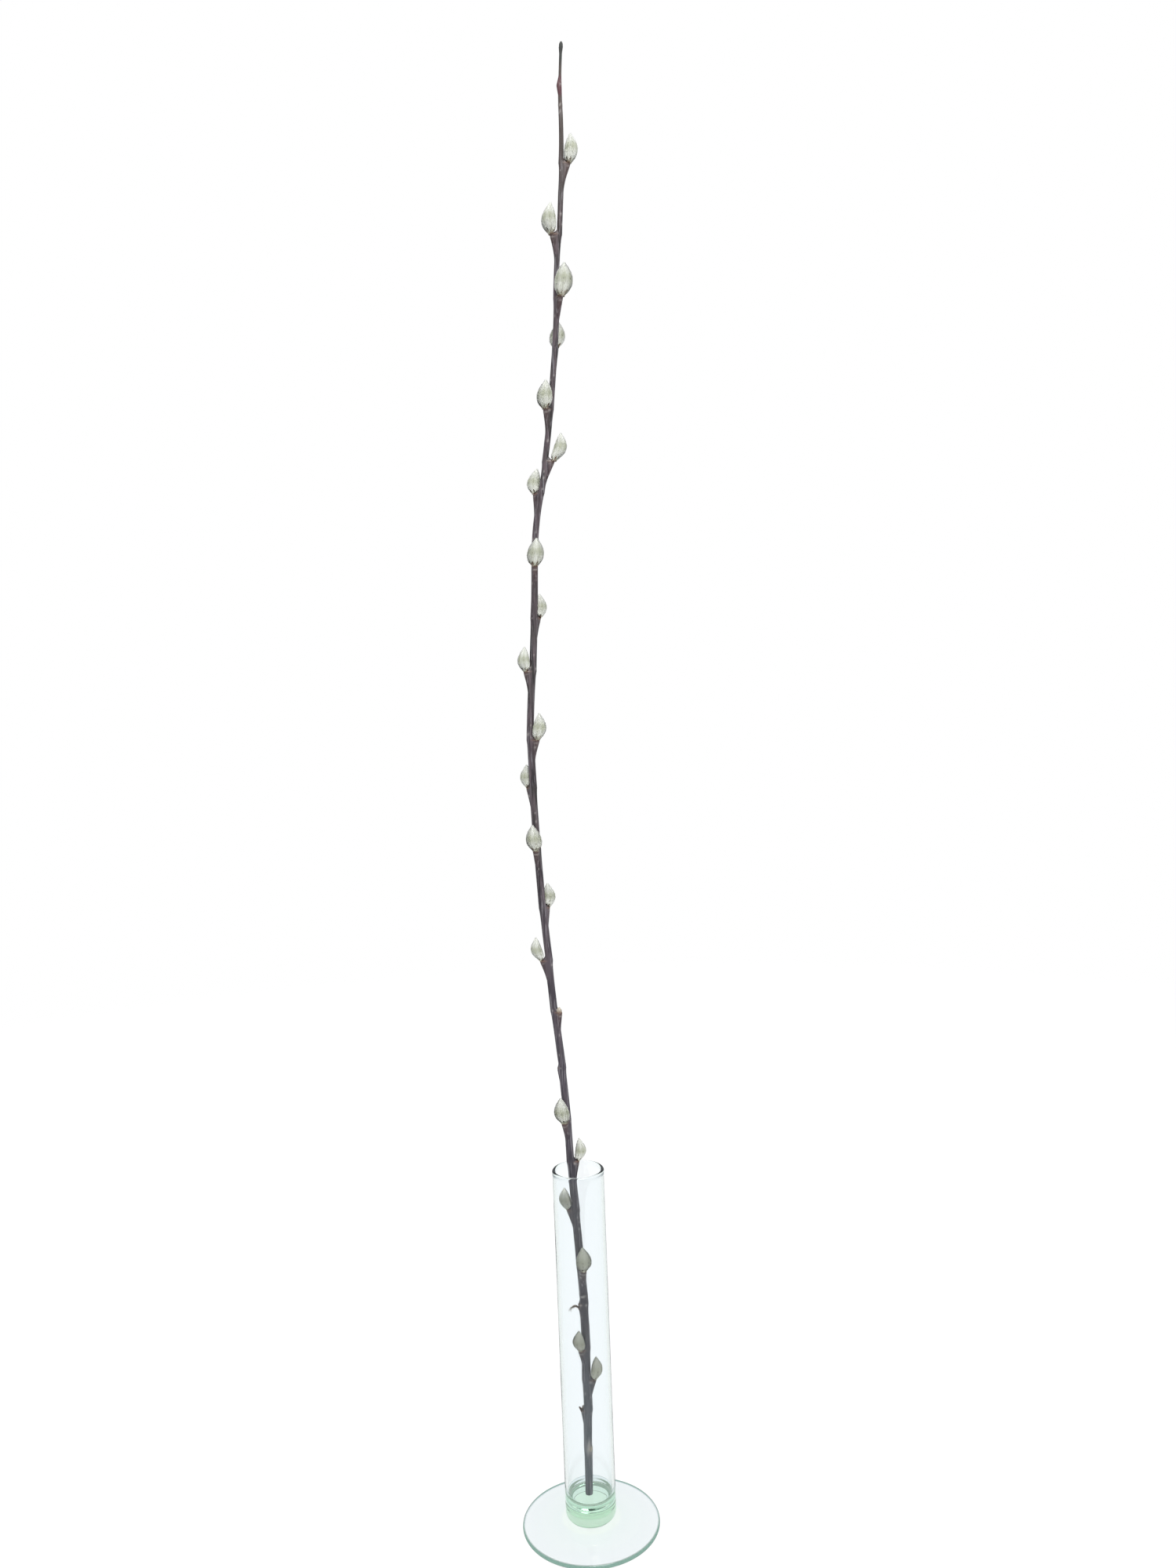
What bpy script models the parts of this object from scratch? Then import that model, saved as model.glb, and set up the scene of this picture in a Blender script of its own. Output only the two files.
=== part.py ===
"""A pussy willow stem that stands in a slim glass tube vase on a round foot.

The origin is the centre of the foot's underside and +Z runs up the tube.
An azimuth is seen from above: 0 is the front (-Y), 90 the right (+X), 180 the back.
"""

import math

import bpy
import numpy as np

MM = 0.001

# Vase, in millimetres
VASE_HEIGHT = 181.0
TUBE_RADIUS = 12.5
WALL = 1.4
LIP_SWELL = 0.15
INNER_FLOOR = 16.0
INNER_CORNER = 3.0
BASE_CORNER = 2.7
BASE_LIFT = 0.25
FOOT_RADIUS = 34.0
FOOT_EDGE = 2.5
FOOT_RISE = 2.4
FOOT_DISH = 1.15
TUBE_RINGS = (60.0, 120.0, VASE_HEIGHT - 3.0)
VASE_SIDES = 44

# Stem: height against place to the right, place to the back, and thickness
STEM_FOOT = 16.3
STEM_TIP = 705.8
STEM_RIGHT = (
    (16, -0.6), (55, 0.2), (103, 0.4), (135, -0.6), (165, -2.3), (198, -3.7),
    (239, -6.4), (279, -9.8), (317, -12.3), (352, -14.0), (397, -14.3), (421, -12.7),
    (452, -10.3), (490, -8.1), (523, -2.0), (551, 1.5), (582, 4.9), (608, 6.3),
    (635, 8.8), (660, 10.6), (690, 10.9), (706, 12.0),
)
STEM_BACK = (
    (16, 0.0), (100, -1.2), (181, -2.6), (300, -2.0), (420, 3.0),
    (540, 5.0), (660, 0.0), (706, -3.5),
)
STEM_THICKNESS = (
    (16, 3.7), (60, 4.4), (103, 4.2), (151, 4.0), (198, 3.6), (267, 3.5), (330, 3.4),
    (380, 3.5), (436, 3.3), (490, 3.1), (535, 2.8), (588, 2.7), (635, 2.4), (675, 2.0),
    (686, 1.7), (692, 1.3), (701, 1.3), (703.4, 1.9), (704.9, 1.7), (705.8, 0.9),
)
STEM_SIDES = 16
LONGEST_STEP = 9.0
TIP_RINGS = (683.5, 685.5, 687.5, 689.5, 691.5, 693.0, 701.0, 703.4, 704.6, 705.3, STEM_TIP)

# Seats from the top down: height, and the length of the catkin on it (0 where it is gone)
SEATS = (
    (654.1, 12.7), (622.9, 13.2), (594.7, 14.3), (573.2, 11.6), (544.3, 12.8),
    (520.5, 12.6), (505.8, 11.8), (471.7, 12.6), (447.5, 11.2), (422.5, 11.3),
    (390.1, 12.2), (367.3, 10.6), (337.7, 12.0), (309.9, 10.9), (284.6, 10.9),
    (259.8, 0), (232.4, 0), (206.0, 12.2), (185.9, 10.3), (161.8, 10.7),
    (132.2, 11.9), (114.1, 0), (91.3, 10.2), (75.4, 11.2), (59.7, 0), (40.3, 0),
)
FIRST_AZIMUTH = 96.5
TURN = 140.9
TWISTS = {
    1: 53, 2: 15, 3: 13, 4: 18, 6: 12, 11: 16, 13: 10, 16: 54, 18: -10, 20: -15,
    21: 105, 22: -5, 23: -10, 24: 24, 25: 16,
}
SEAT_REACH = 0.265
SEAT_DROP = 0.2
SEAT_RUN = 12.5
SEAT_CLIMB = 1.7
SEAT_RINGS = (-SEAT_RUN, -6.0, -2.6, 0.0, SEAT_DROP, 2.2)
LOBE_RADIUS = 0.75
LOBE_SHARE = 0.21
SHORT_SEATS = {15: 2.8, 16: 0.9, 21: 1.1, 24: 1.6, 25: 0.8}
ZIGZAG = 0.45
FADE_ABOVE = 13.0
FADE_BELOW = 2.0

# What is left where a catkin is gone: stubs (seat, radius, rise) and dry bud scales
# (seat, root, drop, length, curl in radians, width)
STUBS = ((15, 1.35, 3.6), (24, 0.9, 2.0))
SCALES = (
    (24, 1.2, 1.2, 3.0, 1.0, 2.2),
    (21, 0.6, 2.6, 5.6, 2.7, 2.2),
    (25, 0.3, 1.2, 3.0, 0.5, 2.2),
)
SCALE_THICKNESS = 0.72
SCALE_CUP = 0.35
SCALE_OUTLINE = ((0, 0.7), (0.3, 0.95), (0.5, 1.0), (0.75, 0.8), (0.9, 0.55), (1, 0.35))

# The bud near the tip
BUD_HEIGHTS = (683.5, 687.5, 691.5)
BUD_AZIMUTH = 270.0
BUD_REACH = 0.8

# Catkins
GAP = 0.3
CATKIN_WIDTH = 0.60
CATKIN_DEPTH = 0.47
CATKIN_COLUMNS = 14
CATKIN_ROWS = 13
CATKIN_OUTLINE = (
    (0.0, 0.40), (0.07, 0.66), (0.16, 0.85), (0.28, 0.98), (0.38, 1.0),
    (0.5, 0.96), (0.65, 0.80), (0.8, 0.53), (0.9, 0.29), (0.96, 0.13), (1.0, 0.0),
)
TUFT_RELIEF = 0.06
TUFT_LIFT = 3.0
FOOT_OUT = 0.4
TIP_BACK = 0.3
SPREADS = {1: 0.9, 2: 0.9, 5: 1.5, 6: 1.0, 13: 0.5, 14: 0.7, 18: 0.8}
LEAN_LIMIT = 0.06
SEED = 7


def flow(height, knots):
    """The smooth curve through the knots: a cubic between each two, with the mean slope at each."""
    at = np.array([knot[0] for knot in knots], float)
    values = np.array([knot[1] for knot in knots], float)
    slopes = np.gradient(values, at)
    height = np.clip(np.asarray(height, float), at[0], at[-1])
    low = np.clip(np.searchsorted(at, height, side="right") - 1, 0, len(at) - 2)
    span = at[low + 1] - at[low]
    share = (height - at[low]) / span
    start = values[low] * (1 + 2 * share) * (1 - share) ** 2
    start += slopes[low] * span * share * (1 - share) ** 2
    end = values[low + 1] * (3 - 2 * share) * share**2
    end -= slopes[low + 1] * span * (1 - share) * share**2
    return start + end


def steps(height, knots):
    """The straight-sided curve through the knots."""
    return np.interp(height, [knot[0] for knot in knots], [knot[1] for knot in knots])


def seat_azimuth(number):
    """Seats climb the stem in a spiral, each one turn on from the last, with a few nudged round."""
    return math.radians(FIRST_AZIMUTH + TURN * number + TWISTS.get(number, 0))


def outward(azimuth):
    """The level direction of an azimuth, as (x, y)."""
    return np.array([math.sin(azimuth), -math.cos(azimuth)])


def stem_centre(height):
    """The stem's middle at a height: its long curve, set back from each seat just above it."""
    middle = np.array([flow(height, STEM_RIGHT), flow(height, STEM_BACK)])
    for number, (seat, _) in enumerate(SEATS):
        above = height - seat
        fade = math.exp(-above / FADE_ABOVE) if above > 0 else math.exp(above / FADE_BELOW)
        middle = middle - outward(seat_azimuth(number)) * ZIGZAG * fade
    return middle


def seat_lobe(number):
    """A seat is a round lobe on the stem's side: how far out its middle lies, and its radius."""
    height, length = SEATS[number]
    thickness = steps(height, STEM_THICKNESS)
    lobe = LOBE_RADIUS + LOBE_SHARE * thickness
    reach = SHORT_SEATS.get(number, SEAT_REACH * length)
    return thickness / 2 + reach - lobe, lobe


LOBES = [(seat_azimuth(number), *seat_lobe(number)) for number in range(len(SEATS))]


def bark_radius(height, azimuth):
    """The stem's radius: half its thickness, the lobe that grows out up to each seat, and the bud."""
    radius = steps(height, STEM_THICKNESS) / 2
    widest = radius
    for (seat, _), (facing, reach, lobe) in zip(SEATS, LOBES):
        climb = (height - seat + SEAT_RUN) / SEAT_RUN
        if climb <= 0 or height > seat + SEAT_DROP / 2:
            continue
        away = reach * min(climb, 1) ** SEAT_CLIMB
        turn = azimuth - facing
        room = lobe**2 - (away * math.sin(turn)) ** 2
        if room > 0 and math.cos(turn) > 0:
            widest = max(widest, away * math.cos(turn) + math.sqrt(room))
    low, fat, top = BUD_HEIGHTS
    bud = max(0.0, math.cos(azimuth - math.radians(BUD_AZIMUTH))) ** 2
    bud *= BUD_REACH * steps(height, ((low, 0), (fat, 1), (top, 0)))
    return widest + bud


def stem_heights():
    """Where the stem's rings lie: close together at each seat and at the tip, and never far apart."""
    marks = list(TIP_RINGS)
    for seat, _ in SEATS:
        marks += [seat + offset for offset in SEAT_RINGS]
    kept = [STEM_FOOT]
    for mark in sorted(marks):
        if mark - kept[-1] < SEAT_DROP - 0.01 or mark > STEM_TIP:
            continue
        extra = int((mark - kept[-1]) / LONGEST_STEP)
        kept += list(np.linspace(kept[-1], mark, extra + 2)[1:])
    return kept


def material(name, color, roughness, transmission=0.0):
    made = bpy.data.materials.new(name)
    made.use_nodes = True
    shader = made.node_tree.nodes["Principled BSDF"]
    shader.inputs["Base Color"].default_value = (*color, 1.0)
    shader.inputs["Roughness"].default_value = roughness
    shader.inputs["Metallic"].default_value = 0.0
    shader.inputs["Transmission Weight"].default_value = transmission
    return made


def skin(name, rings, look):
    """A closed mesh object over rings of points in millimetres, with a flat face at each end."""
    rings = np.asarray(rings, float)
    rows, columns, _ = rings.shape
    faces = []
    for low in range(0, (rows - 1) * columns, columns):
        high = low + columns
        for column in range(columns):
            after = (column + 1) % columns
            faces.append((low + column, low + after, high + after, high + column))
    faces.append(tuple(reversed(range(columns))))
    faces.append(tuple(range((rows - 1) * columns, rows * columns)))
    mesh = bpy.data.meshes.new(name)
    mesh.from_pydata((rings.reshape(-1, 3) * MM).tolist(), [], faces)
    mesh.update()
    mesh.shade_smooth()
    made = bpy.data.objects.new(name, mesh)
    bpy.context.scene.collection.objects.link(made)
    made.data.materials.append(look)
    return made


def arc(centre_r, centre_z, radius, start, end, points):
    """Points of a circle's arc in the (radius, height) plane, angles in degrees from outward to up."""
    turns = np.radians(np.linspace(start, end, points))
    return [(centre_r + radius * math.cos(turn), centre_z + radius * math.sin(turn)) for turn in turns]


def vase_profile():
    """The vase's half outline, from the flat underside up the outside, over the lip and down inside."""
    half_edge = FOOT_EDGE / 2
    foot_top = FOOT_EDGE + FOOT_RISE
    neck = TUBE_RADIUS - BASE_CORNER
    outline = [(FOOT_RADIUS / 2, 0.0)]
    outline += arc(FOOT_RADIUS - half_edge, half_edge, half_edge, -90, 90, 7)
    for share in (0.3, 0.6, 0.85, 1.0):
        radius = FOOT_RADIUS - half_edge + (neck - FOOT_RADIUS + half_edge) * share
        outline.append((radius, FOOT_EDGE + FOOT_RISE * share**FOOT_DISH))
    outline += arc(neck, foot_top + BASE_LIFT + BASE_CORNER, BASE_CORNER, -70, 0, 5)
    lip = WALL / 2 + LIP_SWELL
    lip_middle = TUBE_RADIUS - WALL / 2
    outline += [(TUBE_RADIUS, height) for height in TUBE_RINGS]
    outline += arc(lip_middle, VASE_HEIGHT - lip, lip, 0, 180, 7)
    inside = TUBE_RADIUS - WALL
    outline += [(inside, height) for height in reversed(TUBE_RINGS)]
    outline += arc(inside - INNER_CORNER, INNER_FLOOR + INNER_CORNER, INNER_CORNER, 0, -90, 5)
    return outline


def build_vase(look):
    """Turns the outline round the vertical axis."""
    rings = []
    for radius, height in vase_profile():
        turns = np.arange(VASE_SIDES) * 2 * math.pi / VASE_SIDES
        rings.append([(radius * math.cos(turn), radius * math.sin(turn), height) for turn in turns])
    return skin("vase", rings, look)


def build_stem(look):
    """Rings of bark from the cut end to the tip."""
    turns = np.arange(STEM_SIDES) * 2 * math.pi / STEM_SIDES
    rings = []
    for height in stem_heights():
        x, y = stem_centre(height)
        ring = []
        for turn in turns:
            reach = outward(turn) * bark_radius(height, turn)
            ring.append((x + reach[0], y + reach[1], height))
        rings.append(ring)
    return skin("stem", rings, look)


def seat_frame(number):
    """The stem's middle at a seat, the level direction out through the seat, and the one across it."""
    azimuth = seat_azimuth(number)
    out = outward(azimuth)
    return stem_centre(SEATS[number][0] + SEAT_DROP), out, np.array([-out[1], out[0]])


def build_stub(number, radius, rise, look):
    """A bare stub on a seat: a small upright knob whose foot is sunk in the seat."""
    middle, out, across = seat_frame(number)
    seat = SEATS[number][0]
    _, lobe, _ = LOBES[number]
    reach = max(lobe, steps(seat, STEM_THICKNESS) / 2 + radius * 0.4)
    rings = []
    for share in (-0.5, 0.0, 0.3, 0.6, 0.85, 1.0):
        wide = radius * math.sqrt(max(0.05, 1 - max(0.0, share) ** 2.6))
        ring = []
        for turn in np.arange(8) * math.pi / 4:
            place = middle + out * (reach + wide * math.cos(turn)) + across * wide * math.sin(turn)
            ring.append((place[0], place[1], seat + rise * share))
        rings.append(ring)
    return skin("stub", rings, look)


def build_scale(number, root, drop, length, curl, width, look):
    """A dry bud scale: a thin cupped blade that bends away from the bark round an arc of curl radians.

    Its root is sunk in the seat, root millimetres off the bark and drop millimetres below the top.
    """
    middle, out, across = seat_frame(number)
    seat = SEATS[number][0]
    start = steps(seat, STEM_THICKNESS) / 2 + root
    radius = length / curl
    rings = []
    for share in np.linspace(0, 1, 7):
        bend = curl * share
        lift = seat - drop + radius * math.sin(bend)
        away = start + radius * (1 - math.cos(bend))
        wide = width / 2 * steps(share, SCALE_OUTLINE)
        ring = []
        for turn in np.arange(8) * math.pi / 4:
            side = math.cos(turn)
            thick = SCALE_THICKNESS / 2 * math.sin(turn) + SCALE_CUP * side**2
            place = middle + out * (away - thick * math.cos(bend)) + across * wide * side
            ring.append((place[0], place[1], lift + thick * math.sin(bend)))
        rings.append(ring)
    return skin("scale", rings, look)


def join(body, extras):
    """Makes the body and the extras one closed solid, and takes the extras away."""
    group = bpy.data.collections.new("grown_on")
    bpy.context.scene.collection.children.link(group)
    for extra in extras:
        bpy.context.scene.collection.objects.unlink(extra)
        group.objects.link(extra)
    union = body.modifiers.new("grown", "BOOLEAN")
    union.operation = "UNION"
    union.operand_type = "COLLECTION"
    union.collection = group
    bpy.context.view_layer.update()
    graph = bpy.context.evaluated_depsgraph_get()
    body.data = bpy.data.meshes.new_from_object(body.evaluated_get(graph))
    body.modifiers.clear()
    for extra in extras:
        bpy.data.objects.remove(extra)
    bpy.data.collections.remove(group)


def clear_of_bark(place, height):
    """A point of a catkin at a height, moved straight out from the stem's middle if it lies in the bark."""
    middle = stem_centre(height)
    away = place - middle
    azimuth = math.atan2(away[0], -away[1])
    least = GAP + max(bark_radius(height + step, azimuth) for step in (-0.5, 0.0, 0.5))
    return middle + away * max(1.0, least / math.hypot(*away))


def build_catkin(name, number, lean, look):
    """A catkin's egg of overlapping tufts in a diamond pattern, pressed against the bark inside."""
    seat, length = SEATS[number]
    _, reach, _ = LOBES[number]
    _, out, across = seat_frame(number)
    foot = seat + SEAT_DROP + GAP
    deepest = CATKIN_DEPTH * length / 2
    belly = steps(seat, STEM_THICKNESS) / 2 + GAP + deepest
    spread = SPREADS.get(number, 0)
    axis = ((0, reach + FOOT_OUT + spread / 3), (0.35, belly + spread), (1, belly + spread - TIP_BACK))
    rings = []
    for row in range(CATKIN_ROWS):
        share = 0.975 * (row / (CATKIN_ROWS - 1)) ** 0.95
        size = steps(share, CATKIN_OUTLINE)
        height = foot + length * share
        middle = stem_centre(height) + out * flow(share, axis) + across * lean * length * share
        ring = []
        for column in range(CATKIN_COLUMNS):
            turn = 2 * math.pi * column / CATKIN_COLUMNS
            tuft = TUFT_RELIEF if (column + row) % 2 == 0 else -TUFT_RELIEF
            if row in (0, CATKIN_ROWS - 1):
                tuft = 0
            wide = CATKIN_WIDTH * length / 2
            swell = size * (1 + tuft)
            place = middle + out * deepest * swell * math.cos(turn)
            place = clear_of_bark(place + across * wide * swell * math.sin(turn), height)
            ring.append((place[0], place[1], height + tuft * TUFT_LIFT))
        rings.append(ring)
    return skin(name, rings, look)


def main():
    for thing in list(bpy.data.objects):
        bpy.data.objects.remove(thing)
    build_vase(material("vase_glass", (0.80, 0.93, 0.85), 0.03, 1.0))
    bark = material("willow_bark", (0.105, 0.078, 0.070), 0.55)
    fur = material("catkin_fur", (0.34, 0.34, 0.30), 0.9)
    stem = build_stem(bark)
    extras = [build_stub(*stub, bark) for stub in STUBS]
    extras += [build_scale(*scale, bark) for scale in SCALES]
    join(stem, extras)
    draw = np.random.default_rng(SEED)
    count = 0
    for number, (_, length) in enumerate(SEATS):
        if length:
            count += 1
            build_catkin(f"catkin_{count:02d}", number, draw.uniform(-LEAN_LIMIT, LEAN_LIMIT), fur)


main()
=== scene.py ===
# %% [markdown]
# # A pussy willow stem in a glass vase
# One long stem stands dry in a slim glass tube on a broad round foot. Silky catkins sit on pegs that
# climb the stem in a spiral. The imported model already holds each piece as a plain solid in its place,
# so this lesson keeps those places and dresses them: clear glass, ringed bark, and fur made of hairs.

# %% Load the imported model
import math

import bpy
import numpy as np
from mathutils import Matrix


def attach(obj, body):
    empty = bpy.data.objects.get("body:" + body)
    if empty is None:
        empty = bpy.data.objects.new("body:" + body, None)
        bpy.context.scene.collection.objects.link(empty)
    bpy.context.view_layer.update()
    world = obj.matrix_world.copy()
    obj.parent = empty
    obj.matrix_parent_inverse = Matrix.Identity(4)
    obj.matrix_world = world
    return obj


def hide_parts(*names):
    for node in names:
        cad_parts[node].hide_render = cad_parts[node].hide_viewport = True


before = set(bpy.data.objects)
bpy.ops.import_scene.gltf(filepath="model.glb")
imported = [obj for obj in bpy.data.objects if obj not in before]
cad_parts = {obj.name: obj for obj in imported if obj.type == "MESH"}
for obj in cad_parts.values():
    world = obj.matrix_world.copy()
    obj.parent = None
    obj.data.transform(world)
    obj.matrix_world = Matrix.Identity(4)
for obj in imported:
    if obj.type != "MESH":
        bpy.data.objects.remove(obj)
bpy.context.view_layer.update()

MM = 0.001

# %% [markdown]
# ## The camera
# The camera looks down a little on the foot and almost level at the middle of the stem, so the foot
# shows as an ellipse while the stem stays straight. Its place is found first. It could be aimed with a
# constraint, but three angles written down give the same view each time.

# %% Camera
CAMERA_AT = (0.0, -0.5972, 0.4127)
CAMERA_PITCH, CAMERA_YAW, CAMERA_ROLL = (math.radians(angle) for angle in (-4.25, 1.134, -2.125))
LENS, FILM = 28.93, 36.0


def camera_axes(pitch, yaw, roll):
    """Right, up and forward: forward comes from pitch and yaw, and roll turns the other two about it."""
    forward = np.array([math.sin(yaw) * math.cos(pitch), math.cos(yaw) * math.cos(pitch), math.sin(pitch)])
    level = np.array([math.cos(yaw), -math.sin(yaw), 0.0])
    upright = np.cross(level, forward)
    right = math.cos(roll) * level + math.sin(roll) * upright
    return right, math.cos(roll) * upright - math.sin(roll) * level, forward


def placed(name, data):
    """An object made of this data, linked to the scene."""
    thing = bpy.data.objects.new(name, data)
    bpy.context.scene.collection.objects.link(thing)
    return thing


right, up, forward = camera_axes(CAMERA_PITCH, CAMERA_YAW, CAMERA_ROLL)
lens = bpy.data.cameras.new("photo_camera")
lens.sensor_fit, lens.sensor_height, lens.lens = "VERTICAL", FILM, LENS
lens.clip_start, lens.clip_end = 0.01, 20.0
camera = placed("photo_camera", lens)
columns = [[*right, 0], [*up, 0], [*(-forward), 0], [*CAMERA_AT, 1]]
camera.matrix_world = Matrix(columns).transposed()
bpy.context.scene.camera = camera
print("camera at", CAMERA_AT, "looks along", forward.round(3))

# %% [markdown]
# ## The stem's measurements
# The stem is a long bent line with a thickness at each height. Every catkin sat on its own peg, and
# the pegs follow a spiral of about 141 degrees from one to the next. The numbers below are in
# millimetres and repeat the ones that the solids were made from, so the bark fits them closely.

# %% Stem tables
STEM_FOOT, STEM_TIP = 16.3, 705.8
STEM_RIGHT = (
    (16, -0.6), (55, 0.2), (103, 0.4), (135, -0.6), (165, -2.3), (198, -3.7),
    (239, -6.4), (279, -9.8), (317, -12.3), (352, -14.0), (397, -14.3), (421, -12.7),
    (452, -10.3), (490, -8.1), (523, -2.0), (551, 1.5), (582, 4.9), (608, 6.3),
    (635, 8.8), (660, 10.6), (690, 10.9), (706, 12.0),
)
STEM_BACK = (
    (16, 0.0), (100, -1.2), (181, -2.6), (300, -2.0), (420, 3.0),
    (540, 5.0), (660, 0.0), (706, -3.5),
)
STEM_THICKNESS = (
    (16, 3.7), (60, 4.4), (103, 4.2), (151, 4.0), (198, 3.6), (267, 3.5), (330, 3.4),
    (380, 3.5), (436, 3.3), (490, 3.1), (535, 2.8), (588, 2.7), (635, 2.4), (675, 2.0),
    (686, 1.7), (692, 1.3), (701, 1.3), (703.4, 1.9), (704.9, 1.7), (705.8, 0.9),
)
SEATS = (
    (654.1, 12.7), (622.9, 13.2), (594.7, 14.3), (573.2, 11.6), (544.3, 12.8),
    (520.5, 12.6), (505.8, 11.8), (471.7, 12.6), (447.5, 11.2), (422.5, 11.3),
    (390.1, 12.2), (367.3, 10.6), (337.7, 12.0), (309.9, 10.9), (284.6, 10.9),
    (259.8, 0), (232.4, 0), (206.0, 12.2), (185.9, 10.3), (161.8, 10.7),
    (132.2, 11.9), (114.1, 0), (91.3, 10.2), (75.4, 11.2), (59.7, 0), (40.3, 0),
)
FIRST_AZIMUTH, TURN = 96.5, 140.9
TWISTS = {
    1: 53, 2: 15, 3: 13, 4: 18, 6: 12, 11: 16, 13: 10, 16: 54, 18: -10, 20: -15,
    21: 105, 22: -5, 23: -10, 24: 24, 25: 16,
}
SEAT_REACH, SHORT_SEATS = 0.265, {15: 2.8, 16: 0.9, 21: 1.1, 24: 1.6, 25: 0.8}
SEAT_DROP, SEAT_RUN, SEAT_CLIMB = 0.2, 12.5, 1.7
LEDGE_BELOW, LEDGE_ABOVE, LEDGE_CURVE = 0.1, 2.4, 1.5
LOBE_RADIUS, LOBE_SHARE = 0.75, 0.21
ZIGZAG, FADE_ABOVE, FADE_BELOW = 0.45, 13.0, 2.0
BUD_HEIGHTS, BUD_AZIMUTH, BUD_REACH = (683.5, 687.5, 691.5), math.radians(270), 0.8
print("seats:", len(SEATS), "of them with a catkin:", sum(length > 0 for _, length in SEATS))

# %% [markdown]
# Two small helpers read the tables. One draws a smooth curve through the numbers, for lines that
# bend. The other draws straight stretches, for thicknesses, where a smooth curve could overshoot.


# %% Curves through tables
def flow(at, knots):
    """The smooth curve through the knots: a cubic between each two, with the mean slope at each."""
    places = np.array([knot[0] for knot in knots], float)
    values = np.array([knot[1] for knot in knots], float)
    slopes = np.gradient(values, places)
    at = np.clip(np.asarray(at, float), places[0], places[-1])
    low = np.clip(np.searchsorted(places, at, side="right") - 1, 0, len(places) - 2)
    span = places[low + 1] - places[low]
    share = (at - places[low]) / span
    start = values[low] * (1 + 2 * share) * (1 - share) ** 2 + slopes[low] * span * share * (1 - share) ** 2
    end = values[low + 1] * (3 - 2 * share) * share**2 - slopes[low + 1] * span * (1 - share) * share**2
    return start + end


def steps(at, knots):
    """The straight-sided curve through the knots."""
    return np.interp(at, [knot[0] for knot in knots], [knot[1] for knot in knots])


def seat_azimuth(number):
    """The first azimuth, plus one turn for each seat down the stem, plus that seat's own nudge."""
    return math.radians(FIRST_AZIMUTH + TURN * number + TWISTS.get(number, 0))


def outward(azimuth):
    """The level direction of an azimuth: (sine, minus cosine). 0 is the front and 90 degrees the right."""
    return np.stack([np.sin(azimuth), -np.cos(azimuth)], -1)


def stem_centre(height):
    """The long curve of the stem, moved back from each seat by a step that fades exponentially."""
    height = np.asarray(height, float)
    middle = np.stack([flow(height, STEM_RIGHT), flow(height, STEM_BACK)], -1)
    for number, (seat, _) in enumerate(SEATS):
        above = height - seat
        fade = np.exp(-np.maximum(above, 0) / FADE_ABOVE + np.minimum(above, 0) / FADE_BELOW)
        middle = middle - fade[..., None] * ZIGZAG * outward(seat_azimuth(number))
    return middle


print("stem leans", stem_centre(STEM_TIP).round(1), "mm at the tip")

# %% [markdown]
# ## The pegs
# Below each catkin the stem swells into a peg: a round lobe that grows out of the side and ends in a
# small ledge. Seen from above, the stem and the lobe are two circles, and the skin of the peg is the
# line that wraps both. Sculpting would do it too, but this line has a plain formula: between the two
# circles the radius is that of the straight line which touches them.


# %% Peg formula
def seat_lobe(number):
    """How far out a seat's lobe lies and its radius: a base radius plus a share of the stem's thickness."""
    height, length = SEATS[number]
    thickness = steps(height, STEM_THICKNESS)
    lobe = LOBE_RADIUS + LOBE_SHARE * thickness
    return thickness / 2 + SHORT_SEATS.get(number, SEAT_REACH * length) - lobe, lobe


LOBES = [(seat_azimuth(number), *seat_lobe(number)) for number in range(len(SEATS))]
WEB_HOLLOW = 0.35


def wrapped(turn, core, away, lobe):
    """The radius, at an angle from the lobe's direction, of a line wrapped round two circles.

    Ahead it is the far side of the lobe, behind it is the stem, and between them the straight line
    that touches both, pressed in a little as a living peg is.
    """
    turn = np.abs((turn + np.pi) % (2 * np.pi) - np.pi)
    away = np.maximum(away, 1e-6)
    touch = np.arccos(np.clip((core - lobe) / away, -1, 1))
    edge = np.arctan2(lobe * np.sin(touch), away + lobe * np.cos(touch))
    room = np.maximum(lobe**2 - (away * np.sin(turn)) ** 2, 0)
    ahead = away * np.cos(turn) + np.sqrt(room)
    share = np.clip((turn - edge) / np.maximum(touch - edge, 1e-6), 0, 1)
    line = core / np.maximum(np.cos(np.clip(turn - touch, -1.5, 1.5)), 0.05)
    web = core + (line - core) * (1 - WEB_HOLLOW * np.sin(np.pi * share))
    return np.where(turn < edge, ahead, np.where(turn < touch, web, core))


def bark_radius(height, azimuth):
    """The stem's radius: half its thickness, or the widest wrapped peg there, plus the bud near the tip.

    A peg grows as the height's share of its run to a power. Above its rim it falls back to the stem
    as a power of the height left, which gives the sloped ledge that the catkin sits on.
    """
    core = steps(height, STEM_THICKNESS) / 2
    widest = core + 0 * azimuth
    for (seat, _), (facing, reach, lobe) in zip(SEATS, LOBES):
        climb = np.clip((height - seat + SEAT_RUN) / SEAT_RUN, 0, 1)
        away = reach * climb**SEAT_CLIMB
        peg = wrapped(azimuth - facing, core, away, lobe)
        fall = np.clip((height - seat + LEDGE_BELOW) / (LEDGE_BELOW + LEDGE_ABOVE), 0, 1)
        widest = np.maximum(widest, core + (peg - core) * (1 - fall) ** LEDGE_CURVE)
    low, fat, top = BUD_HEIGHTS
    bud = np.maximum(np.cos(azimuth - BUD_AZIMUTH), 0) ** 2
    return widest + bud * BUD_REACH * steps(height, ((low, 0), (fat, 1), (top, 0)))


print("widest peg reaches", round(max(reach + lobe for _, reach, lobe in LOBES), 2), "mm from the middle")
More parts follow.
